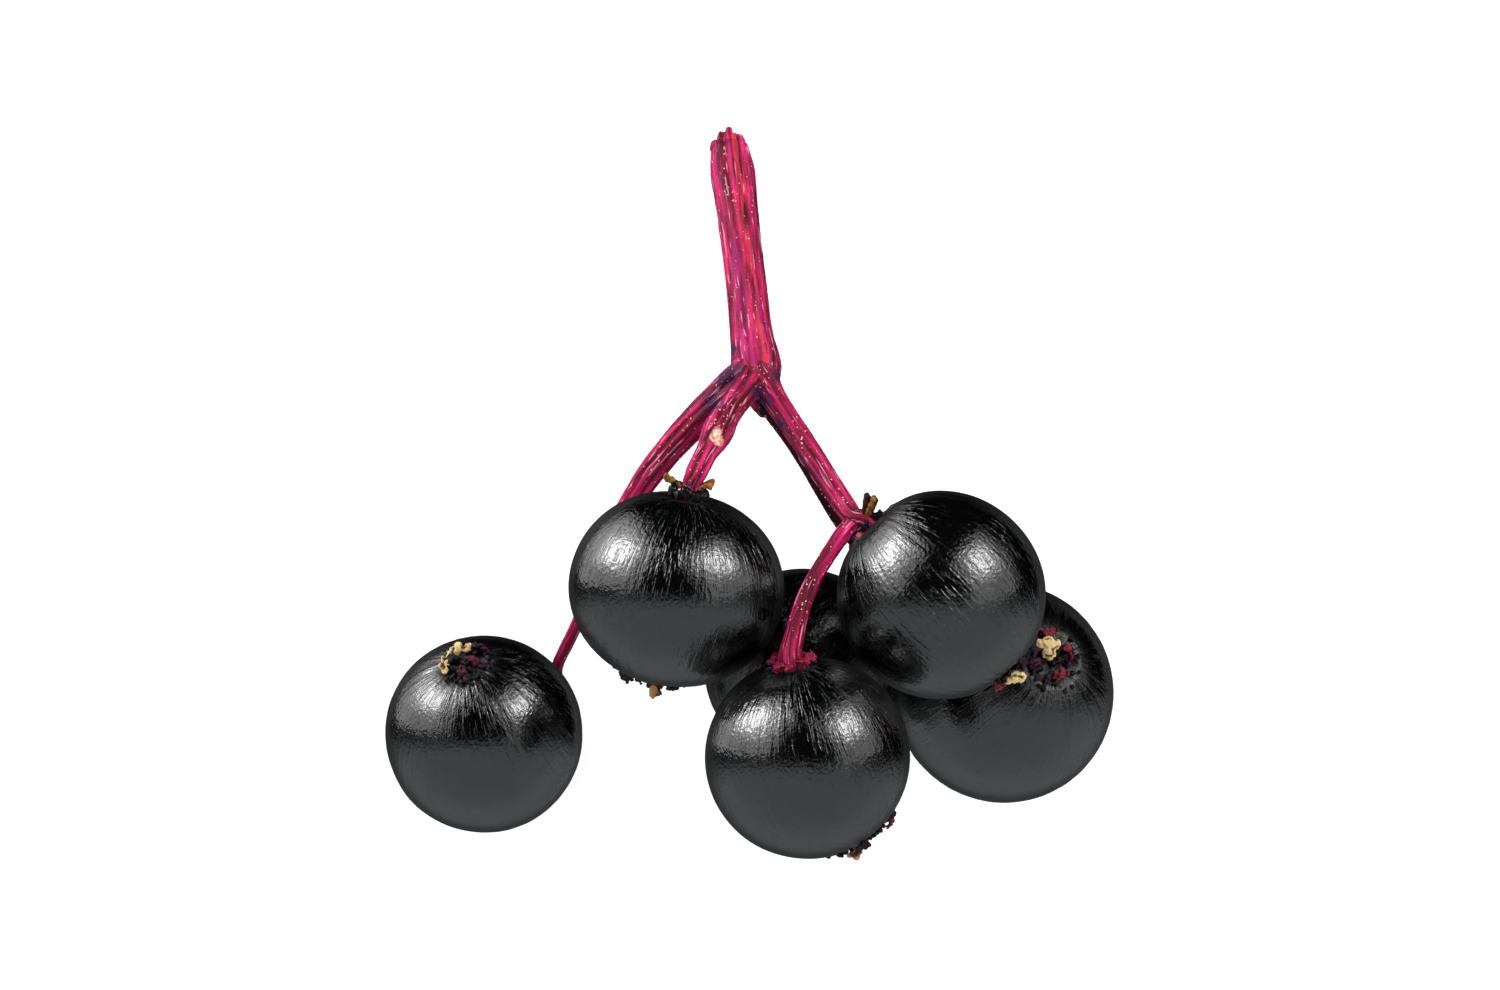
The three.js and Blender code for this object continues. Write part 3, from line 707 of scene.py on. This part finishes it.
# ---- the crowns ------------------------------------------------------------------------------
# What the flower left at the tip of each berry: five little sepals dried black, purple or
# crimson and curled in over a sunken scar, with dark crumbs of tissue round them.
CROWN_VOXEL = 0.022
SEPALS = {  # angle round the crown in degrees, distance out, width, tone from black to crimson
    "far_left": [(38, 0.62, 0.2, 0.5), (-12, 0.2, 0.1, 0.75), (-98, 0.52, 0.1, 0.6),
                 (72, 0.62, 0.2, 0.45), (170, 0.5, 0.2, 0.2)],
    "upper_left": [(8, 0.72, 0.2, 0.3), (80, 0.62, 0.2, 0.5), (150, 0.8, 0.2, 0.2),
                   (222, 0.6, 0.2, 0.4), (295, 0.7, 0.2, 0.6)],
    "upper_right": [(166, 0.74, 0.4, 1.0), (10, 0.34, 0.24, 0.6), (4, 0.78, 0.2, 0.5),
                    (240, 0.6, 0.2, 0.7), (305, 0.7, 0.2, 0.5)],
    "lower_middle": [(4, 0.95, 0.26, 0.85), (178, 0.8, 0.2, 0.2), (95, 0.55, 0.2, 0.4),
                     (235, 0.7, 0.2, 0.6), (310, 0.7, 0.2, 0.5)],
    "far_right": [(104, 0.78, 0.24, 0.95), (28, 0.5, 0.22, 0.95), (-70, 0.5, 0.26, 1.0),
                  (202, 0.74, 0.26, 0.55), (150, 0.6, 0.2, 0.3)],
    "back": [(20, 0.6, 0.22, 0.7), (92, 0.6, 0.22, 0.5), (165, 0.6, 0.22, 0.8),
             (236, 0.6, 0.22, 0.4), (308, 0.6, 0.22, 0.6)]}
CRUMBS = 80  # three in five on the rim, the rest inside it


def end_frame(out):
    """Sideways, upwards and outwards directions at one end of a berry."""
    side = unit(np.array((1.0, 0.0, 0.0)) - out[0] * out)
    return side, np.cross(out, side), out


def on_skin(berry, end, across, up, lift):
    """A point over the skin, by its distances from the middle of one end and its height."""
    side, upwards, out = end_frame(berry[end])
    hollow = RECESS if end == "crown" else DIMPLE
    radius = berry["radius"]
    height = math.sqrt(max(radius ** 2 - across ** 2 - up ** 2, 0.01))
    away = unit(across * side + up * upwards + height * out)
    off_axis = math.hypot(across, up) / radius
    sunk = radius * hollow["depth"] * math.exp(-((off_axis / hollow["spread"]) ** 2))
    squashed = away + (berry["length"] - 1) * (away @ berry["stalk"]) * berry["stalk"]
    return berry["centre"] + squashed * radius + away * (lift - sunk)


def round_end(berry, end, reach, turn, lift):
    """A point over the skin, by its distance from the middle of one end and its direction."""
    return on_skin(berry, end, reach * math.cos(turn), reach * math.sin(turn), lift)


def crumb(middle, size, chance):
    """A small uneven lump: two domed ends a little apart, in a random direction."""
    lean = unit(chance.normal(size=3)) * size * 0.35
    return rounded_tube(np.array((middle - lean, middle, middle + lean)),
                        size * chance.uniform(0.75, 1.1, 3), 8)


def curled_sepal(berry, end, degrees, distance, width, chance):
    """A wrinkled lobe rising from the skin and curling in, as a few tubes side by side."""
    tubes = []
    for fold in np.linspace(-0.5, 0.5, 4):
        angle = math.radians(degrees) + fold * width * 1.5 / max(distance, 0.3)
        out = distance + chance.uniform(-0.04, 0.04)
        stops = [(out + 0.10, -0.06), (out + 0.11, 0.08), (out + 0.02, 0.2), (out - 0.12, 0.23),
                 (out - 0.2, 0.14)]
        stops = stops[:chance.integers(3, 6)]
        centres = np.array([round_end(berry, end, reach, angle, lift * chance.uniform(0.8, 1.2))
                            for reach, lift in stops])
        radii = np.linspace(0.075, 0.045, len(centres)) * chance.uniform(0.85, 1.2)
        tubes.append(rounded_tube(centres, radii, 8))
    return tubes


def toned(points, marks, tones):
    """The tone of the nearest marked part, at each point."""
    return np.asarray(tones)[np.argmin(
        (points ** 2).sum(axis=1)[:, None] + (marks ** 2).sum(axis=1) - 2 * points @ marks.T, axis=1)]


def withered_piece(name, parts, tones, wrinkle, seed, material):
    """Parts fused and crumpled into one dried piece, each point keeping its part's tone and how high its
    crumple stands, for painted shade in the hollows.
    """
    points, normals, faces = fused(parts, CROWN_VOXEL, 2)
    marks = np.vstack([part for part, _ in parts])
    tone = toned(points, marks, np.concatenate([np.full((len(part), 2), value) for (part, _), value
                                                in zip(parts, tones)]))
    crumple = noise_at(points, 9.0, seed) + 0.6 * noise_at(points, 22.0, seed + 1)
    points = points + normals * (wrinkle * crumple)[:, None]
    return make_piece(name, points, faces, material, {
        "tone": np.c_[tone, np.clip(0.5 + 0.5 * crumple, 0, 1)]})


def withered_tissue(name, dark, purple, bright, dry, gloss=0.3):
    """Dried flower tissue: dark to bright along its tone, or dry and papery, and wrinkled, with painted
    shade darkening the hollows of its crumples.
    """
    material, tree = new_material(name)
    tone = three_kept(tree, "tone")
    place = place_in_millimetres(tree)
    cells = add_node(tree, "TexNoise", {"Vector": place, "Scale": 12.0, "Detail": 4.0, "Roughness": 0.7})
    uneven = add_node(tree, "Math", {
        0: add_node(tree, "Math", {0: cells, 1: 0.5}, operation="SUBTRACT"), 1: 1.1,
        2: tone.outputs["X"]}, operation="MULTIPLY_ADD")
    ramp = add_node(tree, "ValToRGB", {0: uneven})
    ramp.color_ramp.elements[0].position, ramp.color_ramp.elements[0].color = 0.25, linear(dark)
    ramp.color_ramp.elements[1].position, ramp.color_ramp.elements[1].color = 0.95, linear(bright)
    ramp.color_ramp.elements.new(0.55).color = linear(purple)
    papery = add_node(tree, "Mix", {0: cells, 6: linear(dry[0]), 7: linear(dry[1])}, data_type="RGBA")
    colour = add_node(tree, "Mix", {
        0: tone.outputs["Y"], 6: ramp.outputs["Color"], 7: papery}, data_type="RGBA")
    # Painted shade: the tissue is coloured darker where its crumples sink in.
    fold_shade = add_node(tree, "Mix", {
        0: tone.outputs["Z"], 6: linear("#4c4048"), 7: WHITE}, data_type="RGBA")
    shaded = add_node(tree, "Mix", {
        0: 1.0, 6: colour, 7: fold_shade}, data_type="RGBA", blend_type="MULTIPLY")
    rough = add_node(tree, "MapRange", {
        "Value": cells, "From Min": 0.3, "From Max": 0.7, "To Min": gloss, "To Max": gloss + 0.3})
    wrinkles = add_node(tree, "Bump", {"Height": cells, "Strength": 0.8, "Distance": 0.1 * gloss * MM})
    shader = add_node(tree, "BsdfPrincipled", {
        "Base Color": shaded, "Roughness": rough, "IOR": 1.45, "Normal": wrinkles})
    add_node(tree, "OutputMaterial", {"Surface": shader})
    return material


# Sepals dried on the berry: thin tissue stained by the juice, black, purple or crimson from one
# sepal to the next, and darker in the hollows of its crumples as painted shade; a slight shine on the
# folds.
dried_sepal = withered_tissue("juice_stained_dried_sepal", "#0b090b", "#341030", "#961a38",
                              ("#7a4a20", "#d89a48"))
for order, (name, berry) in enumerate(berries.items()):
    chance = np.random.default_rng(100 + order)
    parts, tones = [], []
    for degrees, distance, width, tone in SEPALS[name]:
        tubes = curled_sepal(berry, "crown", degrees, distance, width, chance)
        parts += tubes
        tones += [(np.clip(tone + chance.uniform(-0.1, 0.1), 0, 1), 0.0) for _ in tubes]
    for _ in range(CRUMBS):
        turn = chance.uniform(0, 2 * math.pi)
        on_rim = len(tones) % 5 < 3
        reach = berry["rim"] * (chance.uniform(0.76, 1.1) if on_rim else chance.uniform(0.05, 0.8))
        size = chance.uniform(0.035, 0.075) if on_rim else chance.uniform(0.04, 0.1)
        parts.append(crumb(round_end(berry, "crown", reach, turn, chance.uniform(0.0, 0.07)), size, chance))
        tones.append((chance.uniform(0.0, 0.5), 0.0))
    sepals = withered_piece(f"sepals_{name}", parts, tones, 0.04, 200 + order, dried_sepal)
    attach(sepals, "root")
    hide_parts(f"calyx_{name}")


# ---- the stigmas -----------------------------------------------------------------------------
# In each crown sits the dried stigma of the flower, a corky cream lump of two or three lobes,
# pitted as it shrank. One has broken down to a beaded crescent along its rim.
STIGMAS = {  # across, up, height over the skin, size
    "far_left": [(-0.6, -0.24, 0.12, 0.11), (-0.62, -0.04, 0.14, 0.15), (-0.58, 0.16, 0.14, 0.13),
                 (-0.46, 0.34, 0.14, 0.14), (-0.3, 0.48, 0.14, 0.17), (-0.12, 0.56, 0.15, 0.18),
                 (0.06, 0.52, 0.15, 0.17)],
    "upper_left": [(0.12, 0.72, 0.2, 0.14), (0.26, 0.7, 0.24, 0.12), (0.16, 0.72, 0.36, 0.12)],
    "upper_right": [(-0.12, 0.24, 0.24, 0.2), (-0.04, 0.2, 0.34, 0.16), (-0.3, 0.24, 0.16, 0.14)],
    "lower_middle": [(-0.44, 0.42, 0.2, 0.15), (-0.28, 0.42, 0.24, 0.14), (-0.36, 0.42, 0.34, 0.12)],
    "far_right": [(-0.42, 0.32, 0.22, 0.18), (-0.24, 0.4, 0.25, 0.19), (-0.08, 0.32, 0.23, 0.17),
                  (-0.24, 0.22, 0.2, 0.18), (-0.22, 0.04, 0.2, 0.19)],
    "back": [(-0.05, 0.0, 0.16, 0.16), (0.12, 0.1, 0.16, 0.13)]}
RUSTY = {"upper_left": 0.8, "lower_middle": 0.65}  # how far a stigma has browned
PIT_SPACING = 0.17

# Corky dried stigma: pale cream cork, pitted with brown holes about 0.17 mm apart; quite matt.
cork, tree = new_material("pitted_cream_cork")
tone = three_kept(tree, "tone")
place = place_in_millimetres(tree)
cells = add_node(tree, "TexNoise", {"Vector": place, "Scale": 14.0, "Detail": 3.0, "Roughness": 0.6})
cream = add_node(tree, "Mix", {0: cells, 6: linear("#a87c34"), 7: linear("#f6e0a8")}, data_type="RGBA")
rusted = add_node(tree, "Mix", {0: tone.outputs["X"], 6: cream, 7: linear("#8a5212")}, data_type="RGBA")
pitted = add_node(tree, "Mix", {0: tone.outputs["Y"], 6: rusted, 7: linear("#4a220a")}, data_type="RGBA")
grain = add_node(tree, "Bump", {"Height": cells, "Strength": 0.7, "Distance": 0.02 * MM})
shader = add_node(tree, "BsdfPrincipled", {
    "Base Color": pitted, "Roughness": 0.62, "IOR": 1.45, "Normal": grain.outputs["Normal"]})
add_node(tree, "OutputMaterial", {"Surface": shader})
for order, (name, lobes) in enumerate(STIGMAS.items()):
    chance = np.random.default_rng(300 + order)
    parts = [crumb(on_skin(berries[name], "crown", *lobe[:3]), lobe[3], chance) for lobe in lobes]
    points, normals, faces = fused(parts, CROWN_VOXEL, 2)
    holes = noise_at(points, 0.8 / PIT_SPACING, 310 + order)
    pit = np.clip((holes - 0.08) / 0.18, 0, 1)
    height = 0.04 * noise_at(points, 9.0, 320 + order) + 0.02 * noise_at(points, 24.0, 330) - 0.07 * pit
    stigma = make_piece(f"stigma_{name}", points + normals * height[:, None], faces, cork, {
        "tone": np.c_[np.full(len(points), RUSTY.get(name, 0.0)), pit, pit]})
    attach(stigma, "root")


# ---- the collars -----------------------------------------------------------------------------
# Where a pedicel meets its berry stand the bracteoles, a ring of tiny scale leaves. Most have
# shrivelled to black or purple knobs; two on one berry have dried to rusty tips, and the berry
# in the middle keeps a fresh crimson frill.
COLLARS = {  # radius of the ring, tone from black to crimson, number of scales
    "far_left": (0.26, 0.45, 6), "upper_left": (0.43, 0.08, 11), "upper_right": (0.36, 0.35, 7),
    "lower_middle": (0.52, 0.85, 17), "far_right": (0.27, 0.45, 6), "back": (0.27, 0.45, 6)}
RUSTY_TIPS = {"upper_left": ((176, 0.5), (-8, 0.42))}  # angle, distance out
KNOB_HEIGHT = {"upper_left": 0.2, "lower_middle": 0.06}  # how far a collar stands up
KNOB_SIZES = (0.16, 0.1)
FRILL_SIZE = (0.05, 0.13)  # the scales of a collar with many of them
SCALE_SHARE = (0.2, 0.32)  # and of the others, as a share of the ring
scale_leaf = withered_tissue("shrivelled_scale_leaf", "#0d0b0e", "#401238", "#b01a48",
                             ("#6e3010", "#d08a38"), gloss=0.08)
for order, (name, (ring, tone, count)) in enumerate(COLLARS.items()):
    chance = np.random.default_rng(400 + order)
    berry = berries[name]
    parts, tones = [], []
    stand = KNOB_HEIGHT.get(name, 0.0)
    for scale in range(count):
        degrees = 360 * (scale + chance.uniform(-0.25, 0.25)) / count
        turn = math.radians(degrees)
        if stand > 0.1:  # a tall collar is a double row of knobs
            for size in KNOB_SIZES:
                reach = ring * chance.uniform(0.9, 1.15)
                parts.append(crumb(round_end(berry, "stalk", reach, turn, chance.uniform(0.1, stand + 0.1)),
                                   size * chance.uniform(0.85, 1.1), chance))
                tones.append((np.clip(tone + chance.uniform(-0.1, 0.2), 0, 1), 0.0))
            continue
        size = chance.uniform(*FRILL_SIZE) if count > 12 else chance.uniform(*SCALE_SHARE) * ring
        middle = round_end(berry, "stalk", ring * 0.9, turn, stand + chance.uniform(0.08, 0.2))
        foot = round_end(berry, "stalk", ring * 0.8, turn, 0.0)
        tip = round_end(berry, "stalk", ring * 1.2, turn, stand + chance.uniform(0.02, 0.22))
        parts.append(rounded_tube(np.array((foot, middle, tip)),
                                  np.array((0.9, 1.0, 0.6)) * size, 8))
        tones.append((np.clip(tone + chance.uniform(-0.2, 0.15), 0, 1), 0.0))
        for _ in range(2):
            parts.append(crumb(tip + chance.normal(size=3) * 0.05, size * 0.5, chance))
        tones += [tones[-1]] * 2
    for degrees, distance in RUSTY_TIPS.get(name, ()):
        for fold in (-7, 0, 8):
            turn = math.radians(degrees + fold)
            stops = [(ring * 0.7, 0.34), (distance, 0.48), (distance + 0.12, 0.52 + 0.01 * fold)]
            centres = [round_end(berry, "stalk", reach, turn, lift) for reach, lift in stops]
            parts.append(rounded_tube(np.array(centres), np.array((0.08, 0.1, 0.09)), 8))
            tones.append((0.6, 1.0))
    collar = withered_piece(f"bracteoles_ring_{name}", parts, tones, 0.02, 420 + order, scale_leaf)
    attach(collar, "root")
    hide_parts(f"bracteoles_{name}")
    collar.visible_glossy = False  # keeps red off the black skins


# ---- the dry bract and the bud ---------------------------------------------------------------
# At the last fork on the right stand the withered bract that once covered the flowers there,
# rolled up and brown, and beside it a pink flower bud that never opened.
BRACT_STOPS = [(3.34, -0.78, 9.2), (3.4, -0.5, 9.36), (3.46, -0.25, 9.48), (3.52, -0.06, 9.5)]
BRACT_FOLDS = 5
BUD_MIDDLE = (3.2, -1.18, 9.22)
BUD_SIZE = 0.14
BUD_PETALS = 5
ALONG_BUD, ROUND_BUD = 40, 60  # mesh steps

# Withered bract: thin leaf dried dark brown, its rolled edges papery and orange.
dry_leaf = withered_tissue("rolled_dry_leaf", "#1c0d04", "#4a240a", "#8a4a12", ("#5a3008", "#d88c30"))
chance = np.random.default_rng(500)
spine = smooth_route([(*(ORIGIN + stop), 0.1) for stop in BRACT_STOPS], 0.06)[:, :3]
along, across, other = carried_frame(spine)
parts, tones = [], []
for fold in range(BRACT_FOLDS):
    turn = math.radians(20 + 250 * fold / (BRACT_FOLDS - 1))
    spread = np.linspace(0.04, 0.15, len(spine))[:, None]
    centres = spine + spread * (math.cos(turn) * across + math.sin(turn) * other)
    length = len(spine) - chance.integers(0, 3)
    radii = np.linspace(0.055, 0.085, length) * chance.uniform(0.8, 1.2)
    parts.append(rounded_tube(centres[:length], radii, 8))
    tones.append((0.4, 0.0) if 0 < fold else (0.7, 0.85))
bract = withered_piece("dry_bract_roll", parts, tones, 0.02, 510, dry_leaf)
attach(bract, "root")
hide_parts("dry_bract")

# Unopened bud: five waxy petals folded into a globe, pink with crimson seams, softly glossy.
petal, tree = new_material("waxy_pink_petal")
tone = three_kept(tree, "tone")
place = place_in_millimetres(tree)
cells = add_node(tree, "TexNoise", {"Vector": place, "Scale": 16.0, "Detail": 3.0, "Roughness": 0.6})
pink = add_node(tree, "Mix", {0: cells, 6: linear("#d82450"), 7: linear("#ff8c98")}, data_type="RGBA")
seamed = add_node(tree, "Mix", {0: tone.outputs["X"], 6: pink, 7: linear("#6e0c28")}, data_type="RGBA")
grain = add_node(tree, "Bump", {"Height": cells, "Strength": 0.5, "Distance": 0.01 * MM})
shader = add_node(tree, "BsdfPrincipled", {
    "Base Color": seamed, "Roughness": 0.32, "IOR": 1.45, "Normal": grain.outputs["Normal"]})
add_node(tree, "OutputMaterial", {"Surface": shader})
down, turn = globe_steps(ALONG_BUD, ROUND_BUD)
seam = np.exp(-(np.sin(BUD_PETALS / 2 * (turn + 0.5 * np.cos(down))) / 0.25) ** 2) * np.sin(down) ** 0.5
reach = BUD_SIZE * (1 - 0.14 * seam) * (1 + 0.06 * np.cos(down))
away = np.c_[np.sin(down) * np.cos(turn), np.sin(down) * np.sin(turn), np.cos(down)]
lean = np.array(Matrix.Rotation(math.radians(25), 3, (0.8, -0.5, 0.0)))
bud = make_piece("folded_flower_bud", ORIGIN + BUD_MIDDLE + (reach[:, None] * away) @ lean.T,
                 globe_faces(ALONG_BUD - 1, ROUND_BUD), petal, {"tone": np.c_[seam, seam, seam]})
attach(bud, "root")
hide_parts("flower_bud")
